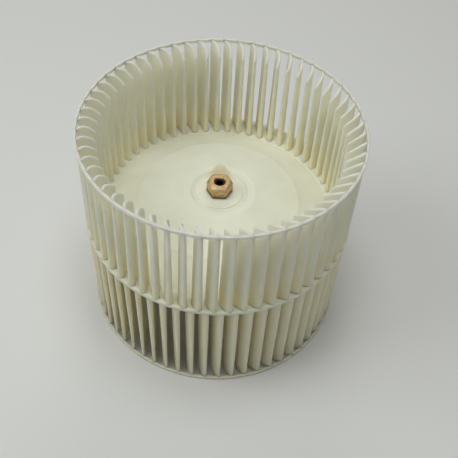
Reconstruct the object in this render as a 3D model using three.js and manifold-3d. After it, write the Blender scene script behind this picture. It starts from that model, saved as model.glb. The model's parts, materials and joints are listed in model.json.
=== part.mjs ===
// Double-inlet forward-curved blower wheel: two tiers of curved blades on the two faces of a
// dished web disc, with a brass hub insert for a flatted motor shaft. Millimetres, +Z up along the
// spin axis, origin on the axis in the plane of the lower ring, on which the wheel stands.

import * as THREE from 'three';
import { mergeVertices } from 'three/addons/utils/BufferGeometryUtils.js';
import Module from 'manifold-3d';

const wasm = await Module();
wasm.setup();

// ---------------------------------------------------------------- driving dimensions
const WHEEL_RADIUS = 76.2;          // a 6 inch wheel, over the rings
const WHEEL_HEIGHT = 129;
const GAP = 0.3;                    // left between pieces that touch
const OVERLAP = 1;                  // how far a cut or a joined solid runs past the face it meets

const BLADE_COUNT = 60;             // in each tier
const BLADE_TIP_RADIUS = 75.2;
const BLADE_ROOT_RADIUS = 65.3;
const BLADE_FOOT_THICKNESS = 3.4;   // on the web; the blade thins evenly to its free end
const BLADE_END_THICKNESS = 1.5;
const BLADE_ARC_RADIUS = 10;
const BLADE_ROOT_LEAN = THREE.MathUtils.degToRad(-6);
const BLADE_ARC_STEPS = 4;
const BLADE_PHASE = -2.6;           // degrees from +X to the first upper blade's root
const INLET_DROP = 6;               // how far the free end falls from the ring to the blade's root
const INLET_DROP_POWER = 1.9;       // above 1, the fall is gentle at the ring and steep at the root
const BLADE_BELOW_RING_FACE = 0.5;

const RING_INNER_RADIUS = 74.7;
const RING_HEIGHT = 2.1;
const RING_SEGMENTS = 2 * BLADE_COUNT;

const WEB_EDGE_BOTTOM = 66.8;
const WEB_THICKNESS = 2.4;
const WEB_TROUGH_RADIUS = 64;       // the web falls inwards under the blades as far as this
const WEB_TROUGH_DEPTH = 3.6;
const WEB_KNEE_RADIUS = 45.7;       // between two cones that rise to the hub
const WEB_KNEE_RISE = 4.8;          // above the web's edge
const WEB_LANDING_RADIUS = 20.5;    // flat again inside this, round the hub boss
const WEB_LANDING_RISE = 10.3;

const BOSS_FACE_RADIUS = 15.9;
const BOSS_FLANGE_RADIUS = 19;
const BOSS_FLANGE_THICKNESS = 2.2;
const BOSS_BARREL_RADIUS = 9;
const BOSS_LENGTH = 24;
const BOSS_RIB_COUNT = 6;
const BOSS_RIB_THICKNESS = 1.8;
const BOSS_RIB_DROP = 12;           // down the barrel
const BOSS_RIB_OUTER_DROP = 2.4;    // at the rib's outer edge
const BOSS_RIB_EDGE = 0.8;          // flat at the foot of the rib, and its step in from the flange's rim
const BOSS_SEGMENTS = 36;

const HEX_ACROSS_FLATS = 13;
const HEX_HEIGHT = 7.4;
const HEX_TOP_RADIUS = 5.8;
const HEX_CHAMFER_HEIGHT = 1.1;
const SHANK_RADIUS = 5.4;
const SHANK_GROOVE_RADIUS = 4.7;
const SHANK_GROOVE_WIDTH = 2;
const BORE_RADIUS = 3.2;            // clears a quarter inch shaft
const BORE_FLAT_OFFSET = 2.45;      // from the axis to the flat of the D, on the +Y side
const BORE_SEGMENTS = 24;

const SCREW_RADIUS = 2;
const SCREW_LENGTH = 5;
const SCREW_SOCKET_RADIUS = 1.1;
const SCREW_SOCKET_DEPTH = 2;
const SCREW_SEGMENTS = 20;
const SCREW_TIP_RECESS = 0.2;       // from the flat of the D back to the screw's tip

// ---------------------------------------------------------------- levels that follow from them
const WEB_EDGE_TOP = WEB_EDGE_BOTTOM + WEB_THICKNESS;
const HUB_FACE = WEB_EDGE_TOP + WEB_LANDING_RISE;
const BOSS_BOTTOM = HUB_FACE - BOSS_LENGTH;
const HEX_BOTTOM = HUB_FACE + GAP;
const HEX_TOP = HEX_BOTTOM + HEX_HEIGHT;
const SCREW_LEVEL = HEX_BOTTOM + HEX_HEIGHT / 2;
const SCREW_TIP = BORE_FLAT_OFFSET + SCREW_TIP_RECESS;

// ---------------------------------------------------------------- materials
function plastic(name, colour, roughness) {
  return new THREE.MeshStandardMaterial({ name, color: colour, roughness, metalness: 0 });
}

const wheelPlastic = plastic('ivory_plastic', 0xd9dcc6, 0.38);
const bossPlastic = plastic('ivory_boss_plastic', 0xdadcc9, 0.42);
const brass = new THREE.MeshStandardMaterial({
  name: 'brass', color: 0xc39a63, roughness: 0.35, metalness: 1,
});
const steel = new THREE.MeshStandardMaterial({
  name: 'black_steel', color: 0x3a3a3c, roughness: 0.45, metalness: 1,
});

// ---------------------------------------------------------------- between three.js and manifold-3d
function toSolid(geometry) {
  geometry.deleteAttribute('normal');
  geometry.deleteAttribute('uv');
  const merged = mergeVertices(geometry, 1e-4);
  return new wasm.Manifold(new wasm.Mesh({
    numProp: 3,
    vertProperties: new Float32Array(merged.attributes.position.array),
    triVerts: new Uint32Array(merged.index.array),
  }));
}

function toGeometry(solid) {
  const mesh = solid.getMesh();
  const geometry = new THREE.BufferGeometry();
  geometry.setAttribute('position', new THREE.BufferAttribute(mesh.vertProperties, 3));
  geometry.setIndex(new THREE.BufferAttribute(mesh.triVerts, 1));
  geometry.computeVertexNormals();
  return geometry;
}

// A solid of revolution about +Z from [radius, height] points, listed anticlockwise.
function turned(points, segments) {
  const outline = points.map(([radius, height]) => new THREE.Vector2(radius, height));
  if (points[0][0] > 0) {
    outline.push(outline[0].clone());
  }
  const geometry = new THREE.LatheGeometry(outline, segments);
  geometry.rotateX(Math.PI / 2);
  return toSolid(geometry);
}

function cylinderAlongZ(radius, bottom, top, segments) {
  return turned([[0, bottom], [radius, bottom], [radius, top], [0, top]], segments);
}

// ---------------------------------------------------------------- blade tiers
// A blade's middle line is an arc that leaves the root circle nearly along the radius and curves
// forward, anticlockwise seen from above, until it meets the tip circle.
function bladeArc() {
  const centre = new THREE.Vector2(
    BLADE_ROOT_RADIUS - BLADE_ARC_RADIUS * Math.sin(BLADE_ROOT_LEAN),
    BLADE_ARC_RADIUS * Math.cos(BLADE_ROOT_LEAN),
  );
  const reach = centre.length();
  const cosine = (BLADE_TIP_RADIUS ** 2 - reach ** 2 - BLADE_ARC_RADIUS ** 2)
    / (2 * BLADE_ARC_RADIUS * reach);
  const start = BLADE_ROOT_LEAN - Math.PI / 2;
  const end = centre.angle() - Math.acos(cosine);
  return { centre, start, end };
}

// Height of the blade's free end below the ring's outer face, at a distance from the axis.
function inletDrop(radius) {
  const inward = Math.max(0, RING_INNER_RADIUS - radius) / (RING_INNER_RADIUS - BLADE_ROOT_RADIUS);
  return BLADE_BELOW_RING_FACE + INLET_DROP * inward ** INLET_DROP_POWER;
}

// How far the web lies below its own edge, at a distance from the axis, under the blades.
function webFall(radius) {
  return WEB_TROUGH_DEPTH * (WHEEL_RADIUS - radius) / (WHEEL_RADIUS - WEB_TROUGH_RADIUS);
}

// One blade, its foot on the web and its free end at the inlet. The web falls away from the foot
// (webSide -1) or rises into it (webSide 1).
function bladeSolid(height, webSide) {
  const { centre, start, end } = bladeArc();
  const foot = new THREE.Shape();
  foot.absarc(centre.x, centre.y, BLADE_ARC_RADIUS + BLADE_FOOT_THICKNESS / 2, start, end, false);
  foot.absarc(centre.x, centre.y, BLADE_ARC_RADIUS - BLADE_FOOT_THICKNESS / 2, end, start, true);
  foot.closePath();
  const blade = new THREE.ExtrudeGeometry(foot, {
    depth: height, steps: 1, bevelEnabled: false, curveSegments: BLADE_ARC_STEPS,
  });
  const thinning = BLADE_END_THICKNESS / BLADE_FOOT_THICKNESS;
  const corners = blade.attributes.position;
  for (let i = 0; i < corners.count; i += 1) {
    const corner = new THREE.Vector2(corners.getX(i), corners.getY(i));
    const atInlet = corners.getZ(i) > height / 2;
    if (atInlet) {
      const fromCentre = corner.sub(centre);
      const fromMiddleLine = fromCentre.length() - BLADE_ARC_RADIUS;
      fromCentre.setLength(BLADE_ARC_RADIUS + fromMiddleLine * thinning);
      corner.add(centre);
    }
    corner.clampLength(0, WHEEL_RADIUS);
    const radius = corner.length();
    const level = atInlet ? height - inletDrop(radius) : webSide * webFall(radius);
    corners.setXYZ(i, corner.x, corner.y, level);
  }
  return toSolid(blade);
}

// A tier with its ring's outer face at z = height and its blades' feet from z = 0 at the wheel's edge.
function tier(height, turn, webSide) {
  const blade = bladeSolid(height, webSide);
  const ring = turned([
    [RING_INNER_RADIUS, height - RING_HEIGHT],
    [WHEEL_RADIUS, height - RING_HEIGHT],
    [WHEEL_RADIUS, height],
    [RING_INNER_RADIUS, height],
  ], RING_SEGMENTS);
  const pieces = [ring];
  for (let i = 0; i < BLADE_COUNT; i += 1) {
    pieces.push(blade.rotate([0, 0, BLADE_PHASE + (i + turn) * 360 / BLADE_COUNT]));
  }
  return wasm.Manifold.union(pieces);
}

function upperTier() {
  const foot = WEB_EDGE_TOP + GAP;
  return tier(WHEEL_HEIGHT - foot, 0, -1).translate([0, 0, foot]);
}

function lowerTier() {
  const foot = WEB_EDGE_BOTTOM - GAP;
  return tier(foot, 0.5, 1).mirror([0, 0, 1]).translate([0, 0, foot]);
}

// ---------------------------------------------------------------- web disc
// A trough under the blades, then a rise to the hub as two cones, the outer one the steeper.
function webDisc() {
  const upperFace = [
    [WHEEL_RADIUS, WEB_EDGE_TOP],
    [WEB_TROUGH_RADIUS, WEB_EDGE_TOP - WEB_TROUGH_DEPTH],
    [WEB_KNEE_RADIUS, WEB_EDGE_TOP + WEB_KNEE_RISE],
    [WEB_LANDING_RADIUS, HUB_FACE],
    [BOSS_FACE_RADIUS + GAP, HUB_FACE],
  ];
  const lowerFace = upperFace.map(([radius, height]) => [radius, height - WEB_THICKNESS]).reverse();
  return turned([...lowerFace, ...upperFace], BLADE_COUNT);
}

// ---------------------------------------------------------------- hub
// A grooved plastic boss: its face fills the hole in the web, its flange backs the web from below
// and its barrel carries the brass insert.
function hubBoss() {
  const flangeTop = HUB_FACE - WEB_THICKNESS - GAP;
  const body = turned([
    [SHANK_RADIUS + GAP, BOSS_BOTTOM],
    [BOSS_BARREL_RADIUS, BOSS_BOTTOM],
    [BOSS_BARREL_RADIUS, flangeTop - BOSS_FLANGE_THICKNESS],
    [BOSS_FLANGE_RADIUS, flangeTop - BOSS_FLANGE_THICKNESS],
    [BOSS_FLANGE_RADIUS, flangeTop],
    [BOSS_FACE_RADIUS, flangeTop],
    [BOSS_FACE_RADIUS, HUB_FACE],
    [SHANK_RADIUS + GAP, HUB_FACE],
  ], BOSS_SEGMENTS);
  const ribTop = flangeTop - BOSS_FLANGE_THICKNESS / 2;
  const ribOuter = BOSS_FLANGE_RADIUS - BOSS_RIB_EDGE;
  const outline = new THREE.Shape([
    new THREE.Vector2(BOSS_BARREL_RADIUS - OVERLAP, ribTop),
    new THREE.Vector2(BOSS_BARREL_RADIUS - OVERLAP, ribTop - BOSS_RIB_DROP),
    new THREE.Vector2(BOSS_BARREL_RADIUS + BOSS_RIB_EDGE, ribTop - BOSS_RIB_DROP),
    new THREE.Vector2(ribOuter, ribTop - BOSS_RIB_OUTER_DROP),
    new THREE.Vector2(ribOuter, ribTop),
  ]);
  const rib = new THREE.ExtrudeGeometry(outline, { depth: BOSS_RIB_THICKNESS, bevelEnabled: false });
  rib.translate(0, 0, -BOSS_RIB_THICKNESS / 2);
  rib.rotateX(Math.PI / 2);
  const ribSolid = toSolid(rib);
  const pieces = [body];
  for (let i = 0; i < BOSS_RIB_COUNT; i += 1) {
    pieces.push(ribSolid.rotate([0, 0, i * 360 / BOSS_RIB_COUNT]));
  }
  return wasm.Manifold.union(pieces);
}

// The D-shaped bore, long enough to pass through the whole insert.
function dBore() {
  const halfAngle = Math.acos(BORE_FLAT_OFFSET / BORE_RADIUS);
  const outline = new THREE.Shape();
  outline.absarc(0, 0, BORE_RADIUS, Math.PI / 2 + halfAngle, Math.PI / 2 - halfAngle + 2 * Math.PI, false);
  outline.closePath();
  const geometry = new THREE.ExtrudeGeometry(outline, {
    depth: HEX_TOP - BOSS_BOTTOM + 2 * OVERLAP, bevelEnabled: false, curveSegments: BORE_SEGMENTS,
  });
  geometry.translate(0, 0, BOSS_BOTTOM - OVERLAP);
  return toSolid(geometry);
}

function hubInsert() {
  const corner = HEX_ACROSS_FLATS / 2 / Math.cos(Math.PI / 6);
  const hexagon = new THREE.Shape();
  for (let i = 0; i < 6; i += 1) {
    const angle = i * Math.PI / 3;
    const point = [corner * Math.cos(angle), corner * Math.sin(angle)];
    if (i === 0) {
      hexagon.moveTo(...point);
    } else {
      hexagon.lineTo(...point);
    }
  }
  hexagon.closePath();
  const prism = new THREE.ExtrudeGeometry(hexagon, { depth: HEX_HEIGHT, bevelEnabled: false });
  prism.translate(0, 0, HEX_BOTTOM);
  const coneRadius = corner + OVERLAP;
  const coneSlope = HEX_CHAMFER_HEIGHT / (corner - HEX_TOP_RADIUS);
  const chamferBody = turned([
    [0, HEX_BOTTOM - OVERLAP],
    [coneRadius, HEX_BOTTOM - OVERLAP],
    [coneRadius, HEX_TOP - coneSlope * (coneRadius - HEX_TOP_RADIUS)],
    [HEX_TOP_RADIUS, HEX_TOP],
    [0, HEX_TOP],
  ], BOSS_SEGMENTS);
  const head = toSolid(prism).intersect(chamferBody);
  const grooveMiddle = (HEX_BOTTOM + BOSS_BOTTOM) / 2;
  const shank = turned([
    [0, BOSS_BOTTOM],
    [SHANK_RADIUS, BOSS_BOTTOM],
    [SHANK_RADIUS, grooveMiddle - SHANK_GROOVE_WIDTH / 2],
    [SHANK_GROOVE_RADIUS, grooveMiddle - SHANK_GROOVE_WIDTH / 2],
    [SHANK_GROOVE_RADIUS, grooveMiddle + SHANK_GROOVE_WIDTH / 2],
    [SHANK_RADIUS, grooveMiddle + SHANK_GROOVE_WIDTH / 2],
    [SHANK_RADIUS, HEX_BOTTOM + OVERLAP],
    [0, HEX_BOTTOM + OVERLAP],
  ], BOSS_SEGMENTS);
  const screwHole = cylinderAlongZ(SCREW_RADIUS + GAP, 0, HEX_ACROSS_FLATS, SCREW_SEGMENTS)
    .rotate([-90, 0, 0])
    .translate([0, 0, SCREW_LEVEL]);
  return head.add(shank).subtract(dBore()).subtract(screwHole);
}

// The set screw points at the axis from the +Y side, its socket outwards.
function setScrew() {
  const bodySolid = cylinderAlongZ(SCREW_RADIUS, 0, SCREW_LENGTH, SCREW_SEGMENTS);
  const socketBottom = SCREW_LENGTH - SCREW_SOCKET_DEPTH;
  const socket = cylinderAlongZ(SCREW_SOCKET_RADIUS, socketBottom, SCREW_LENGTH + OVERLAP, 6);
  return bodySolid.subtract(socket).rotate([-90, 0, 0]).translate([0, SCREW_TIP, SCREW_LEVEL]);
}

// ---------------------------------------------------------------- assembly
const wheel = new THREE.Group();

function place(name, solid, material) {
  const mesh = new THREE.Mesh(toGeometry(solid), material);
  mesh.name = name;
  wheel.add(mesh);
}

place('upper_tier', upperTier(), wheelPlastic);
place('lower_tier', lowerTier(), wheelPlastic);
place('web_disc', webDisc(), wheelPlastic);
place('hub_boss', hubBoss(), bossPlastic);
place('hub_insert', hubInsert(), brass);
place('set_screw', setScrew(), steel);

export default wheel;
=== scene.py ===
import json
import math

import bmesh
import bpy
from mathutils import Matrix, Vector


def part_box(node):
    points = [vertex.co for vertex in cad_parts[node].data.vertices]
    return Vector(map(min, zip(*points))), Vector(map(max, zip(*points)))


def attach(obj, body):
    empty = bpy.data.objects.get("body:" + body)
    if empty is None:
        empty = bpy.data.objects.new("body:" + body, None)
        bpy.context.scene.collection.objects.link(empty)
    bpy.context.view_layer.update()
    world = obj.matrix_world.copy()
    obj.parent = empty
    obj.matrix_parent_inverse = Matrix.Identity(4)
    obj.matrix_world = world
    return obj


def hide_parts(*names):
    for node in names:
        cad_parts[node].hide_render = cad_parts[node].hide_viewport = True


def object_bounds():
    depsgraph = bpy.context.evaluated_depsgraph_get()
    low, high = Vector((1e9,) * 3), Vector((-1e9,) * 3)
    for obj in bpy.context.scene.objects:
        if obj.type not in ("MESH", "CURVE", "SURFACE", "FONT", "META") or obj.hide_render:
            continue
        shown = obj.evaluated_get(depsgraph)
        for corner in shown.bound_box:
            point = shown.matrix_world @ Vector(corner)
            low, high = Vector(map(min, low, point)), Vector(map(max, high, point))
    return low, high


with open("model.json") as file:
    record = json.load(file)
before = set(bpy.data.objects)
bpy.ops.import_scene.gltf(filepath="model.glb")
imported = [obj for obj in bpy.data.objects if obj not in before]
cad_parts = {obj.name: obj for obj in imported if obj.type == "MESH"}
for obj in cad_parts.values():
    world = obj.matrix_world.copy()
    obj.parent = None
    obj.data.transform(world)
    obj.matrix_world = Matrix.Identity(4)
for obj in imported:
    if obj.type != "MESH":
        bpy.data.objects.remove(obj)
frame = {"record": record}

CAD_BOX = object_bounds()

# ---------------------------------------------------------------- sizes, in metres
MM = 0.001
UPPER_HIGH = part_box("upper_tier")[1]
LOWER_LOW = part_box("lower_tier")[0]
WEB_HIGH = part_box("web_disc")[1]
BOSS_LOW, BOSS_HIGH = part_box("hub_boss")
INSERT_LOW, INSERT_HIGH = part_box("hub_insert")
SCREW_LOW, SCREW_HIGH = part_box("set_screw")

WHEEL_TOP = UPPER_HIGH[2]
WHEEL_BOTTOM = LOWER_LOW[2]
RING_RADIUS = UPPER_HIGH[0]
RING_INNER_RADIUS = 74.7 * MM
RING_HEIGHT = 2.1 * MM

HUB_FACE = WEB_HIGH[2]
WEB_RISE = 10.3 * MM
WEB_THICKNESS = 2.4 * MM
WEB_TROUGH_RADIUS = 64 * MM
WEB_TROUGH_DEPTH = 3.6 * MM
WEB_EDGE_TOP = HUB_FACE - WEB_RISE
WEB_EDGE_BOTTOM = WEB_EDGE_TOP - WEB_THICKNESS
BOSS_FLANGE_WIDTH = 3.1 * MM
BOSS_FACE_RADIUS = BOSS_HIGH[0] - BOSS_FLANGE_WIDTH
BOSS_SEAM = 0.01 * MM

BLADE_COUNT = 60
BLADE_TIP_RADIUS = 75.2 * MM
BLADE_ROOT_RADIUS = 65.3 * MM
BLADE_ARC_RADIUS = 10 * MM
BLADE_ROOT_LEAN = math.radians(-6)
BLADE_FOOT_THICKNESS = 3.4 * MM
BLADE_END_THICKNESS = 1.5 * MM
BLADE_LEAST_HALF_THICKNESS = 0.02 * MM
BLADE_PHASE = math.radians(-2.6)
BLADE_BELOW_RING_FACE = 0.5 * MM
INLET_DROP = 6 * MM
INLET_DROP_POWER = 1.9
# (share of the height from foot to free end, height beyond that share, swell of each face)
BLADE_ROWS = [
    (0, -0.35 * MM, 0.28 * MM),
    (0, 0.15 * MM, 0.17 * MM),
    (0, 0.60 * MM, 0.06 * MM),
    (0, 1.30 * MM, 0),
    (0.5, 0, 0),
    (1, -0.34 * MM, 0),
    (1, -0.12 * MM, -0.10 * MM),
    (1, 0, -0.30 * MM),
]

# ---------------------------------------------------------------- mesh density
FILLET_STEPS = 5
ROUND_SEGMENTS = 240
BOSS_SEGMENTS = 144
SCREW_SEGMENTS = 48
BLADE_EDGE_STEPS = 4
BLADE_MIDDLE_STEPS = 12

# ---------------------------------------------------------------- colours
TIER_IVORY = (0.92, 0.905, 0.755)
HUB_IVORY = (0.91, 0.905, 0.765)
CLOUD_DARK = 0.93
CLOUD_LIGHT = 1.04
# painted warm shade: the tiers are darker and yellower from the web down
WARM_SHADE_TINT = (1, 0.955, 0.86)
# painted shadow of the brass head, tapering behind it on the web
HEAD_SHADOW_TINT = (0.80, 0.72, 0.58)
TARNISHED_BRASS = (0.52, 0.35, 0.17)
CLEAN_BRASS = (0.78, 0.57, 0.34)
# painted shade at the foot of the brass head
HEAD_FOOT_SHADE_TINT = (0.22, 0.18, 0.12)
BLACK_OXIDE = (0.02, 0.02, 0.022)
BARE_STEEL = (0.16, 0.16, 0.165)
FLOOR_GREY = (0.84, 0.84, 0.83)
COOL_LIGHT = (0.97, 1.0, 0.98)
WARM_LIGHT = (1.0, 0.98, 0.93)


# ---------------------------------------------------------------- mesh helpers
def fillet(corners):
    """Round the corners of a closed outline.

    Each corner is (x, y, radius of its rounding); a radius of 0 leaves it sharp.
    """
    rounded = []
    for i, (x, y, radius) in enumerate(corners):
        here = Vector((x, y))
        if radius == 0:
            rounded.append(here)
            continue
        before = (Vector(corners[i - 1][:2]) - here).normalized()
        after = (Vector(corners[(i + 1) % len(corners)][:2]) - here).normalized()
        half_angle = before.angle(after) / 2
        reach = radius / math.tan(half_angle)
        centre = here + (before + after).normalized() * radius / math.sin(half_angle)
        start = here + before * reach - centre
        turn = math.pi - 2 * half_angle
        if before.cross(after) > 0:
            turn = -turn
        for k in range(FILLET_STEPS + 1):
            rounded.append(centre + Matrix.Rotation(turn * k / FILLET_STEPS, 2) @ start)
    return rounded


def ring_mesh(bm, rows, segments):
    """Join rows of two functions of the angle, radius and height, into a closed surface round +Z."""
    grid = []
    for radius_at, height_at in rows:
        ring = []
        for k in range(segments):
            angle = 2 * math.pi * k / segments
            radius = radius_at(angle)
            ring.append(bm.verts.new((radius * math.cos(angle), radius * math.sin(angle), height_at(angle))))
        grid.append(ring)
    for i, ring in enumerate(grid):
        following = grid[(i + 1) % len(grid)]
        for k in range(segments):
            after = (k + 1) % segments
            bm.faces.new((ring[k], ring[after], following[after], following[k]))


def constant(value):
    """A radius or a height that is the same at every angle."""
    return lambda angle: value


def turned(bm, corners, segments):
    """Turn an outline of (radius, height, radius of rounding) corners round +Z."""
    ring_mesh(bm, [(constant(radius), constant(height)) for radius, height in fillet(corners)], segments)


def angle_from_flat(angle):
    """The angle to the middle of the nearest flat, in a hexagon that has a corner at angle 0."""
    return (angle % (math.pi / 3)) - math.pi / 6


def lay_along_y(bm, start):
    """Turn the mesh from +Z to +Y, and put its origin on the set screw's line, at y = start."""
    level = (SCREW_LOW[2] + SCREW_HIGH[2]) / 2
    bmesh.ops.rotate(bm, verts=bm.verts, cent=(0, 0, 0), matrix=Matrix.Rotation(-math.pi / 2, 3, "X"))
    bmesh.ops.translate(bm, verts=bm.verts, vec=(0, start, level))


def add_object(name, data):
    """Put an object that has this data in the scene."""
    added = bpy.data.objects.new(name, data)
    bpy.context.scene.collection.objects.link(added)
    return added


def mesh_object(bm, name):
    """Turn the mesh under construction into an object in the scene."""
    mesh = bpy.data.meshes.new(name)
    bm.to_mesh(mesh)
    bm.free()
    return add_object(name, mesh)


def finish_piece(bm, name, node, material, sharp_angle=35):
    """Make a piece that stands for a node of the part and rides on the node's body.

    Edges that turn by less than the sharp angle, in degrees, are shaded smooth.
    """
    bmesh.ops.recalc_face_normals(bm, faces=bm.faces)
    for face in bm.faces:
        face.smooth = True
    for edge in bm.edges:
        if len(edge.link_faces) == 2:
            edge.smooth = edge.calc_face_angle() < math.radians(sharp_angle)
    piece = mesh_object(bm, name)
    piece.data.materials.append(material)
    body = next(b for b, nodes in frame["record"]["behaviour"]["bodies"].items() if node in nodes)
    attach(piece, body)
    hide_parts(node)
    return piece


# ---------------------------------------------------------------- material helpers
def new_material(name):
    material = bpy.data.materials.new(name)
    material.use_nodes = True
    return material, material.node_tree, material.node_tree.nodes["Principled BSDF"]


def fill(tree, node, inputs):
    """Fill a node's inputs, each from another node's output or with a plain value."""
    for key, value in inputs.items():
        if isinstance(value, bpy.types.NodeSocket):
            tree.links.new(value, node.inputs[key])
        else:
            node.inputs[key].default_value = value


def add_node(tree, kind, inputs, **settings):
    """Add a node. Its settings go first, since some of them decide which inputs it has."""
    node = tree.nodes.new(kind)
    for name, value in settings.items():
        setattr(node, name, value)
    fill(tree, node, inputs)
    return node


def own_coordinates(tree):
    """The piece's own coordinates, which are those of the whole wheel."""
    return add_node(tree, "ShaderNodeTexCoord", {}).outputs["Object"]


def add_corner(tree):
    """The piece's own coordinates as separate outputs."""
    return add_node(tree, "ShaderNodeSeparateXYZ", {"Vector": own_coordinates(tree)}).outputs


def add_noise(tree, scale, detail, axis_scale=(1, 1, 1)):
    """Noise of a scale in cycles a metre; an axis scale under 1 draws it out along that axis."""
    mapping = add_node(tree, "ShaderNodeMapping", {"Vector": own_coordinates(tree), "Scale": axis_scale})
    inputs = {"Vector": mapping.outputs["Vector"], "Scale": scale, "Detail": detail}
    return add_node(tree, "ShaderNodeTexNoise", inputs).outputs["Fac"]


def add_ramp(tree, factor, stops):
    """Blend between (position, colour) stops."""
    ramp = add_node(tree, "ShaderNodeValToRGB", {"Fac": factor})
    for element, (position, colour) in zip(ramp.color_ramp.elements, stops, strict=True):
        element.position = position
        element.color = (*colour, 1)
    return ramp.outputs["Color"]


def add_range(tree, factor, low, high):
    """Stretch a factor from 0 to 1 between two values."""
    inputs = {"Value": factor, "To Min": low, "To Max": high}
    return add_node(tree, "ShaderNodeMapRange", inputs).outputs["Result"]


def add_fade(tree, value, start, end):
    """0 at the start and 1 at the end, smoothly."""
    inputs = {"Value": value, "From Min": start, "From Max": end}
    return add_node(tree, "ShaderNodeMapRange", inputs, interpolation_type="SMOOTHSTEP").outputs["Result"]


def calculate(tree, operation, first, second):
    """One step of arithmetic."""
    return add_node(tree, "ShaderNodeMath", {0: first, 1: second}, operation=operation).outputs["Value"]


def stain(tree, colour, tint, share):
    """Multiply the colour by a tint, as far as the share goes."""
    inputs = {"A": colour, "B": (*tint, 1), "Factor": share}
    return add_node(tree, "ShaderNodeMix", inputs, data_type="RGBA", blend_type="MULTIPLY").outputs["Result"]


def painted_head_shadow(tree):
    """The share of a painted shadow of the brass head: a patch on the web that tapers to a point behind the
    head.
    """
    corner = add_corner(tree)
    point_distance = 25 * MM
    to_point = calculate(tree, "SUBTRACT", point_distance, corner["Y"])
    sideways = calculate(tree, "ABSOLUTE", corner["X"], 0)
    spread = calculate(tree, "DIVIDE", sideways, to_point)
    across = add_fade(tree, spread, start=0.75, end=0.35)
    along = add_fade(tree, to_point, start=0, end=8 * MM)
    beyond_head = add_fade(tree, corner["Y"], start=8 * MM, end=13 * MM)
    return calculate(tree, "MULTIPLY", calculate(tree, "MULTIPLY", across, along), beyond_head)


def painted_warm_shade(tree):
    """The share of painted warm shade, standing in for warm bounce light in the shaded lower wheel: full
    from the web down, and none near the upper inlet.
    """
    unshaded_level = WEB_EDGE_TOP + 25 * MM
    return add_fade(tree, add_corner(tree)["Z"], start=unshaded_level, end=WEB_EDGE_TOP)


def add_bumps(tree, shader, layers):
    """Stack bump maps; each layer is (height output, depth in metres)."""
    inputs = {}
    for height, depth in layers:
        inputs.update({"Strength": 1.0, "Distance": depth, "Height": height})
        inputs["Normal"] = add_node(tree, "ShaderNodeBump", inputs).outputs["Normal"]
    fill(tree, shader, {"Normal": inputs["Normal"]})


# ---------------------------------------------------------------- materials
def ivory_plastic(name, tint, depth, is_tier):
    """Moulded ivory plastic: soft gloss, cloudy colour, orange peel. Light travels to a depth in it.

    The tiers have drag marks along +Z from their mould and a painted warm shade from the web down. The web
    has a painted shadow of the brass head.
    """
    material, tree, shader = new_material(name)
    cloud = add_noise(tree, scale=45, detail=4)
    darker = tuple(CLOUD_DARK * c for c in tint)
    lighter = tuple(min(1, CLOUD_LIGHT * c) for c in tint)
    colour = add_ramp(tree, cloud, [(0.3, darker), (0.7, lighter)])
    if is_tier:
        # painted warm shade on the tiers, full from the web down
        colour = stain(tree, colour, WARM_SHADE_TINT, painted_warm_shade(tree))
    else:
        # painted shadow of the brass head on the web
        colour = stain(tree, colour, HEAD_SHADOW_TINT, painted_head_shadow(tree))
    patch = add_noise(tree, scale=160, detail=5)
    fill(tree, shader, {
        "Base Color": colour,
        "Roughness": add_range(tree, patch, low=0.30, high=0.48),
        "IOR": 1.5,
        "Subsurface Weight": 1.0,
        "Subsurface Radius": (1.0, 0.98, 0.92),
        "Subsurface Scale": depth,
    })
    layers = [(add_noise(tree, scale=900, detail=2), 0.012 * MM)]
    if is_tier:
        drag_marks = add_noise(tree, scale=1400, detail=2, axis_scale=(1, 1, 0.02))
        layers.append((drag_marks, 0.01 * MM))
    add_bumps(tree, shader, layers)
    return material


def turned_brass():
    """Dull turned brass: fine rings round its axis, mottled tarnish, and painted shade at the head's foot.
    """
    material, tree, shader = new_material("insert_brass")
    tarnish = add_noise(tree, scale=700, detail=6)
    colour = add_ramp(tree, tarnish, [(0.3, TARNISHED_BRASS), (0.65, CLEAN_BRASS)])
    shade_height = 4.5 * MM
    # painted shade: the head darkens towards its foot on the web
    foot_shade = add_fade(tree, add_corner(tree)["Z"], start=HUB_FACE + shade_height, end=HUB_FACE)
    fill(tree, shader, {
        "Base Color": stain(tree, colour, HEAD_FOOT_SHADE_TINT, foot_shade),
        "Metallic": 0.85,
        "Roughness": add_range(tree, tarnish, low=0.60, high=0.42),
    })
    inputs = {"Vector": own_coordinates(tree), "Scale": 900, "Distortion": 0.6}
    rings = add_node(tree, "ShaderNodeTexWave", inputs, wave_type="RINGS", rings_direction="Z")
    grain = add_noise(tree, scale=5000, detail=3)
    add_bumps(tree, shader, [(rings.outputs["Fac"], 0.006 * MM), (grain, 0.01 * MM)])
    return material


def black_steel():
    """Black-oxide screw steel, with a little bare metal showing."""
    material, tree, shader = new_material("screw_steel")
    wear = add_noise(tree, scale=2500, detail=6)
    fill(tree, shader, {
        "Base Color": add_ramp(tree, wear, [(0.45, BLACK_OXIDE), (0.8, BARE_STEEL)]),
        "Metallic": 1.0,
        "Roughness": add_range(tree, wear, low=0.5, high=0.32),
    })
    add_bumps(tree, shader, [(wear, 0.01 * MM)])
    return material


# ---------------------------------------------------------------- blades
def blade_arc():
    """The centre of a blade's middle line, and its heading at the tip."""
    centre = Vector((
        BLADE_ROOT_RADIUS - BLADE_ARC_RADIUS * math.sin(BLADE_ROOT_LEAN),
        BLADE_ARC_RADIUS * math.cos(BLADE_ROOT_LEAN),
    ))
    reach = centre.length
    cosine = (BLADE_TIP_RADIUS ** 2 - reach ** 2 - BLADE_ARC_RADIUS ** 2) / (2 * BLADE_ARC_RADIUS * reach)
    tip_lean = math.atan2(centre.y, centre.x) + 2 * math.pi - math.acos(cosine) + math.pi / 2
    return centre, tip_lean % (2 * math.pi)


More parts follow.
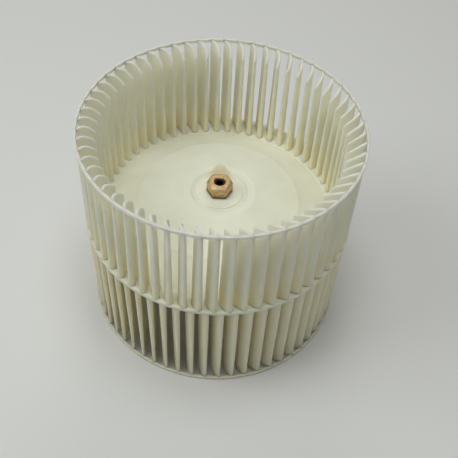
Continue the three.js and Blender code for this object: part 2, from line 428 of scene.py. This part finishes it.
def blade_stations(length):
    """Distances along the blade, close together at its two rounded edges."""
    nose = BLADE_END_THICKNESS / 2
    quarter = math.pi / 2
    edge = [nose * (1 - math.cos(quarter * k / BLADE_EDGE_STEPS)) for k in range(BLADE_EDGE_STEPS + 1)]
    step = (length - 2 * nose) / BLADE_MIDDLE_STEPS
    middle = [nose + step * k for k in range(1, BLADE_MIDDLE_STEPS)]
    return edge + middle + [length - d for d in reversed(edge)]


def half_thickness(distance, length, thickness):
    """Half the blade's thickness at a distance along it; both edges are round, and a little blunt."""
    nose = thickness / 2
    blunt = 0.02 * nose
    from_edge = min(distance, length - distance)
    if from_edge >= nose:
        return nose
    return math.sqrt(max(0, nose ** 2 - (nose - from_edge) ** 2)) + blunt


def inlet_drop(radius):
    """How far inside the ring's outer face the blade's free end lies."""
    inward = max(0, RING_INNER_RADIUS - radius) / (RING_INNER_RADIUS - BLADE_ROOT_RADIUS)
    return BLADE_BELOW_RING_FACE + INLET_DROP * inward ** INLET_DROP_POWER


def web_fall(radius):
    """How far the web under the blades lies below its edge."""
    return WEB_TROUGH_DEPTH * (RING_RADIUS - radius) / (RING_RADIUS - WEB_TROUGH_RADIUS)


def blade_row(foot, inlet, spin, share, beyond, swell):
    """Pairs of points on the blade's two faces, from its root to its tip, for one of BLADE_ROWS."""
    centre, tip_lean = blade_arc()
    length = BLADE_ARC_RADIUS * (tip_lean - BLADE_ROOT_LEAN)
    thickness = BLADE_FOOT_THICKNESS + share * (BLADE_END_THICKNESS - BLADE_FOOT_THICKNESS)
    shrink = max(0, -swell)
    upward = 1 if inlet > foot else -1
    pairs = []
    for distance in blade_stations(length):
        along = shrink + distance * (length - 2 * shrink) / length
        heading = BLADE_ROOT_LEAN + along / BLADE_ARC_RADIUS
        outward = Vector((math.sin(heading), -math.cos(heading)))
        middle = centre + outward * BLADE_ARC_RADIUS
        half = max(BLADE_LEAST_HALF_THICKNESS, half_thickness(distance, length, thickness) + swell)
        base = foot - web_fall(middle.length)
        height = abs(inlet - base) - inlet_drop(middle.length)
        level = base + upward * (share * height + beyond)
        pair = []
        for side in (half, -half):
            point = spin @ (middle + outward * side)
            point.length = min(point.length, RING_RADIUS)
            pair.append((point.x, point.y, level))
        pairs.append(pair)
    return pairs


def add_blade(bm, foot, inlet, turn):
    """One blade from its foot on the web to its sloping free end at the inlet."""
    spin = Matrix.Rotation(turn, 2)
    grid = []
    for row in BLADE_ROWS:
        pairs = blade_row(foot, inlet, spin, *row)
        grid.append([[bm.verts.new(point) for point in pair] for pair in pairs])
    last = len(grid[0]) - 1
    for lower, upper in zip(grid, grid[1:]):
        for i in range(last):
            for side in (0, 1):
                bm.faces.new((lower[i][side], lower[i + 1][side], upper[i + 1][side], upper[i][side]))
        for i in (0, last):
            bm.faces.new((lower[i][0], lower[i][1], upper[i][1], upper[i][0]))
    for row in (grid[0], grid[-1]):
        for i in range(last):
            bm.faces.new((row[i][0], row[i + 1][0], row[i + 1][1], row[i][1]))


def make_tier(node, foot, inlet, stagger, material):
    """The ring round an inlet with its blades, as one moulding; the stagger is in blade pitches."""
    bm = bmesh.new()
    inward = -1 if inlet > foot else 1
    ring_end = inlet + inward * RING_HEIGHT
    corners = [
        (RING_INNER_RADIUS, inlet, 0.4 * MM),
        (RING_RADIUS, inlet, 0.5 * MM),
        (RING_RADIUS, ring_end, 0.4 * MM),
        (RING_INNER_RADIUS, ring_end, 0.3 * MM),
    ]
    turned(bm, corners, ROUND_SEGMENTS)
    for i in range(BLADE_COUNT):
        add_blade(bm, foot, inlet, BLADE_PHASE + 2 * math.pi * (i + stagger) / BLADE_COUNT)
    return finish_piece(bm, node + "_moulding", node, material)


# ---------------------------------------------------------------- web disc and hub
def make_web(material):
    """The dished disc: a trough under the blades, two cones, and a flat landing round the hub."""
    trough_top = WEB_EDGE_TOP - WEB_TROUGH_DEPTH
    knee_radius = 45.7 * MM
    knee_level = WEB_EDGE_TOP + 4.8 * MM
    step_depth = 0.8 * MM
    step_width = 1.4 * MM
    landing_radius = 20.5 * MM
    hole_radius = BOSS_FACE_RADIUS + BOSS_SEAM
    corners = [
        (RING_RADIUS, WEB_EDGE_TOP, 0.5 * MM),
        (WEB_TROUGH_RADIUS, trough_top, 1.5 * MM),
        (knee_radius + step_width, knee_level - step_depth, 0.9 * MM),
        (knee_radius, knee_level, 1.0 * MM),
        (landing_radius, HUB_FACE, 3 * MM),
        (hole_radius, HUB_FACE, 0.15 * MM),
        (hole_radius, HUB_FACE - WEB_THICKNESS, 0.3 * MM),
        (landing_radius, HUB_FACE - WEB_THICKNESS, 3 * MM),
        (knee_radius, knee_level - WEB_THICKNESS, 6 * MM),
        (WEB_TROUGH_RADIUS, trough_top - WEB_THICKNESS, 1 * MM),
        (RING_RADIUS, WEB_EDGE_BOTTOM, 0.5 * MM),
    ]
    bm = bmesh.new()
    turned(bm, corners, ROUND_SEGMENTS)
    return finish_piece(bm, "web_disc_moulding", "web_disc", material, sharp_angle=40)


def make_boss(material):
    """The plastic boss: a round face in the web's hole, a flange under it, a ribbed barrel."""
    flange_radius = BOSS_HIGH[0]
    flange_gap = 0.1 * MM
    flange_thickness = 2.4 * MM
    flange_top = HUB_FACE - WEB_THICKNESS - flange_gap
    flange_under = flange_top - flange_thickness
    edge_round = 0.05 * MM
    barrel_radius = 9 * MM
    groove_radius = 13.3 * MM
    groove_width = 0.3 * MM
    groove_depth = 0.7 * MM
    hole_radius = 5.45 * MM
    bottom = BOSS_LOW[2]
    corners = [
        (hole_radius, bottom, 0.2 * MM),
        (barrel_radius, bottom, 0.6 * MM),
        (barrel_radius, flange_under, 1.2 * MM),
        (flange_radius, flange_under, 0.6 * MM),
        (flange_radius, flange_top, 0.3 * MM),
        (BOSS_FACE_RADIUS, flange_top, 0),
        (BOSS_FACE_RADIUS, HUB_FACE - edge_round, edge_round),
        (groove_radius + groove_width, HUB_FACE - groove_depth, 0.15 * MM),
        (groove_radius, HUB_FACE, 0.15 * MM),
        (hole_radius, HUB_FACE, 0.1 * MM),
    ]
    bm = bmesh.new()
    turned(bm, corners, BOSS_SEGMENTS)
    rib_count = 6
    rib_reach = flange_radius - 0.8 * MM
    for i in range(rib_count):
        add_rib(bm, 2 * math.pi * i / rib_count, barrel_radius, rib_reach, flange_under)
    return finish_piece(bm, "hub_boss_moulding", "hub_boss", material)


def add_rib(bm, turn, inner, outer, top):
    """A thin gusset between the barrel and the underside of the flange."""
    half_width = 0.9 * MM
    overlap = 1 * MM
    foot_level = top - 10.9 * MM
    foot_reach = inner + 0.8 * MM
    outer_level = top - 1.3 * MM
    rounding = 0.25 * MM
    outline = [
        (inner - overlap, top + overlap),
        (inner - overlap, foot_level),
        (foot_reach, foot_level),
        (outer, outer_level),
        (outer, top + overlap),
    ]
    spin = Matrix.Rotation(turn, 3, "Z")
    sides = []
    for y in (-half_width, half_width):
        sides.append([bm.verts.new(spin @ Vector((x, y, z))) for x, z in outline])
    created = [bm.faces.new(sides[0]), bm.faces.new(reversed(sides[1]))]
    for i in range(len(outline)):
        after = (i + 1) % len(outline)
        created.append(bm.faces.new((sides[0][i], sides[1][i], sides[1][after], sides[0][after])))
    edges = {edge for face in created for edge in face.edges}
    bmesh.ops.bevel(bm, geom=list(edges), offset=rounding, segments=2, affect="EDGES")


def make_insert(material):
    """The brass insert: a chamfered hexagon head, a plain shank and a D-shaped bore."""
    half_across_flats = (INSERT_HIGH[1] - INSERT_LOW[1]) / 2
    head_gap = 0.1 * MM
    head_bottom = HUB_FACE + head_gap
    head_top = INSERT_HIGH[2]
    top_radius = 5.8 * MM
    chamfer_height = 1.1 * MM
    blend_width = 0.1 * MM
    blend_depth = 0.06 * MM
    edge_round = 0.12 * MM
    foot_round = 0.25 * MM
    shank_radius = 5.4 * MM
    shank_round = 0.2 * MM
    bottom = INSERT_LOW[2]
    bore_radius = 3.2 * MM
    bore_flat = 2.45 * MM
    mouth = 0.35 * MM

    def hexagon(inset):
        """The head's sides, with their corners taken off a little."""
        def radius_at(angle):
            flat = (half_across_flats - inset) / math.cos(angle_from_flat(angle))
            return min(flat, INSERT_HIGH[0] - edge_round - inset)
        return radius_at

    def bore(swell):
        """The D: a circle with a flat on its +Y side."""
        def radius_at(angle):
            rise = math.sin(angle)
            if rise <= 0:
                return bore_radius + swell
            return min(bore_radius + swell, (bore_flat + swell) / rise)
        return radius_at

    def chamfer(lift):
        """The level of the cone that cuts the head's upper corners."""
        side = hexagon(0)
        slope = chamfer_height / (INSERT_HIGH[0] - top_radius)
        return lambda angle: head_top - slope * (side(angle) - top_radius) + lift

    rows = [
        (hexagon(foot_round), constant(head_bottom)),
        (hexagon(0), constant(head_bottom + foot_round)),
        (hexagon(0), chamfer(-edge_round)),
        (hexagon(edge_round), chamfer(0)),
        (constant(top_radius + blend_width), constant(head_top - blend_depth)),
        (constant(top_radius - blend_width), constant(head_top)),
        (bore(mouth), constant(head_top)),
        (bore(0), constant(head_top - mouth)),
        (bore(0), constant(bottom + mouth)),
        (bore(mouth), constant(bottom)),
        (constant(shank_radius - shank_round), constant(bottom)),
        (constant(shank_radius), constant(bottom + shank_round)),
        (constant(shank_radius), constant(head_bottom)),
    ]
    bm = bmesh.new()
    ring_mesh(bm, rows, ROUND_SEGMENTS)
    return finish_piece(bm, "hub_insert_turned", "hub_insert", material, sharp_angle=20)


def make_screw(material):
    """The set screw: rolled thread, a small cone at each end and a hexagon socket."""
    radius = (SCREW_HIGH[0] - SCREW_LOW[0]) / 2
    length = SCREW_HIGH[1] - SCREW_LOW[1]
    pitch = 0.7 * MM
    thread_depth = 0.38 * MM
    rows_per_turn = 6
    row_count = int(length / pitch * rows_per_turn)
    cone_length = 0.5 * MM
    cone_depth = 0.55 * MM
    socket_corner = 1.1 * MM
    socket_bottom = length - 2 * MM
    drill_point = length - 2.3 * MM
    point_radius = 0.3 * MM

    def thread(level):
        def radius_at(angle):
            phase = (level / pitch - angle / (2 * math.pi)) % 1
            cut = thread_depth * (1 - abs(2 * phase - 1))
            from_end = min(level, length - level, cone_length)
            return min(radius - cut, radius - cone_depth + from_end)
        return radius_at

    def socket(angle):
        return socket_corner * math.cos(math.pi / 6) / math.cos(angle_from_flat(angle))

    rows = [(constant(point_radius), constant(0))]
    for i in range(row_count + 1):
        level = length * i / row_count
        rows.append((thread(level), constant(level)))
    rows.append((socket, constant(length)))
    rows.append((socket, constant(socket_bottom)))
    rows.append((constant(point_radius), constant(drill_point)))
    bm = bmesh.new()
    ring_mesh(bm, rows, SCREW_SEGMENTS)
    lay_along_y(bm, SCREW_LOW[1])
    return finish_piece(bm, "set_screw_threaded", "set_screw", material, sharp_angle=45)


def cut_screw_hole(insert):
    """Drill the set screw's hole through the back flat of the hexagon into the bore."""
    clearance = 0.1 * MM
    radius = (SCREW_HIGH[0] - SCREW_LOW[0]) / 2 + clearance
    drill_length = 10 * MM
    drill_middle = 6.5 * MM
    bm = bmesh.new()
    bmesh.ops.create_cone(
        bm, cap_ends=True, segments=SCREW_SEGMENTS, radius1=radius, radius2=radius, depth=drill_length)
    lay_along_y(bm, drill_middle)
    drill = mesh_object(bm, "screw_drill")
    cut = insert.modifiers.new("screw_hole", "BOOLEAN")
    cut.operation = "DIFFERENCE"
    cut.solver = "EXACT"
    cut.object = drill
    graph = bpy.context.evaluated_depsgraph_get()
    drilled = bpy.data.meshes.new_from_object(insert.evaluated_get(graph))
    insert.modifiers.remove(cut)
    insert.data = drilled
    bpy.data.objects.remove(drill)


# ---------------------------------------------------------------- setting
def make_floor():
    """A pale floor, just under the wheel."""
    half_width = 3
    gap = 0.2 * MM
    bm = bmesh.new()
    bmesh.ops.create_grid(bm, x_segments=1, y_segments=1, size=half_width)
    floor = mesh_object(bm, "floor")
    floor.location.z = CAD_BOX[0][2] - gap
    material, tree, shader = new_material("pale_floor")
    fill(tree, shader, {"Base Color": (*FLOOR_GREY, 1), "Roughness": 0.9})
    floor.data.materials.append(material)


def add_softbox(name, azimuth, elevation, size, power, colour):
    """A square soft light aimed at the wheel; azimuth 0 is in front of the wheel, 90 on its right."""
    distance = 1.3
    light = bpy.data.lights.new(name, "AREA")
    light.color = colour
    light.shape = "SQUARE"
    light.size = size
    light.energy = power
    lamp = add_object(name, light)
    turn = math.radians(azimuth)
    rise = math.radians(elevation)
    direction = Vector((math.sin(turn) * math.cos(rise), -math.cos(turn) * math.cos(rise), math.sin(rise)))
    lamp.location = Vector((0, 0, WHEEL_TOP / 2)) + distance * direction
    lamp.rotation_euler = direction.to_track_quat("Z", "Y").to_euler()


def light_scene():
    """Three softboxes, and a dim warm light from all round."""
    add_softbox("top_light", azimuth=0, elevation=88, size=0.7, power=7.3, colour=COOL_LIGHT)
    add_softbox("left_light", azimuth=-80, elevation=45, size=0.7, power=4.2, colour=COOL_LIGHT)
    add_softbox("back_light", azimuth=180, elevation=42, size=0.5, power=1.5, colour=WARM_LIGHT)
    fill_strength = 0.105
    world = bpy.data.worlds.new("studio")
    world.use_nodes = True
    background = world.node_tree.nodes["Background"]
    fill(world.node_tree, background, {"Color": (*WARM_LIGHT, 1), "Strength": fill_strength})
    bpy.context.scene.world = world


def make_camera():
    """The view from above the front, with a slight roll."""
    pan = math.radians(-1.419)
    tilt = math.radians(49.33)
    roll = math.radians(3.951)
    in_front = 3.672 * RING_RADIUS
    above_wheel = 3.194 * RING_RADIUS
    camera = add_object("camera", bpy.data.cameras.new("camera"))
    camera.data.lens = 55.92
    camera.data.sensor_width = 36
    camera.location = (0, -in_front, WHEEL_TOP + above_wheel)
    back = Vector((math.sin(pan) * math.cos(tilt), -math.cos(pan) * math.cos(tilt), math.sin(tilt)))
    right = Vector((0, 0, 1)).cross(back).normalized()
    up = back.cross(right)
    level = Matrix((right, up, back)).transposed()
    camera.rotation_euler = (level @ Matrix.Rotation(roll, 3, "Z")).to_euler()
    bpy.context.scene.camera = camera


# ---------------------------------------------------------------- the wheel
wheel_plastic = ivory_plastic("wheel_plastic", TIER_IVORY, 3 * MM, is_tier=True)
boss_plastic = ivory_plastic("boss_plastic", HUB_IVORY, 0.8 * MM, is_tier=False)

make_tier("upper_tier", WEB_EDGE_TOP, WHEEL_TOP, 0, wheel_plastic)
make_tier("lower_tier", WEB_EDGE_BOTTOM, WHEEL_BOTTOM, 0.5, wheel_plastic)
make_web(boss_plastic)
make_boss(boss_plastic)
cut_screw_hole(make_insert(turned_brass()))
make_screw(black_steel())

make_floor()
light_scene()
make_camera()
bpy.context.scene.view_settings.view_transform = "Standard"
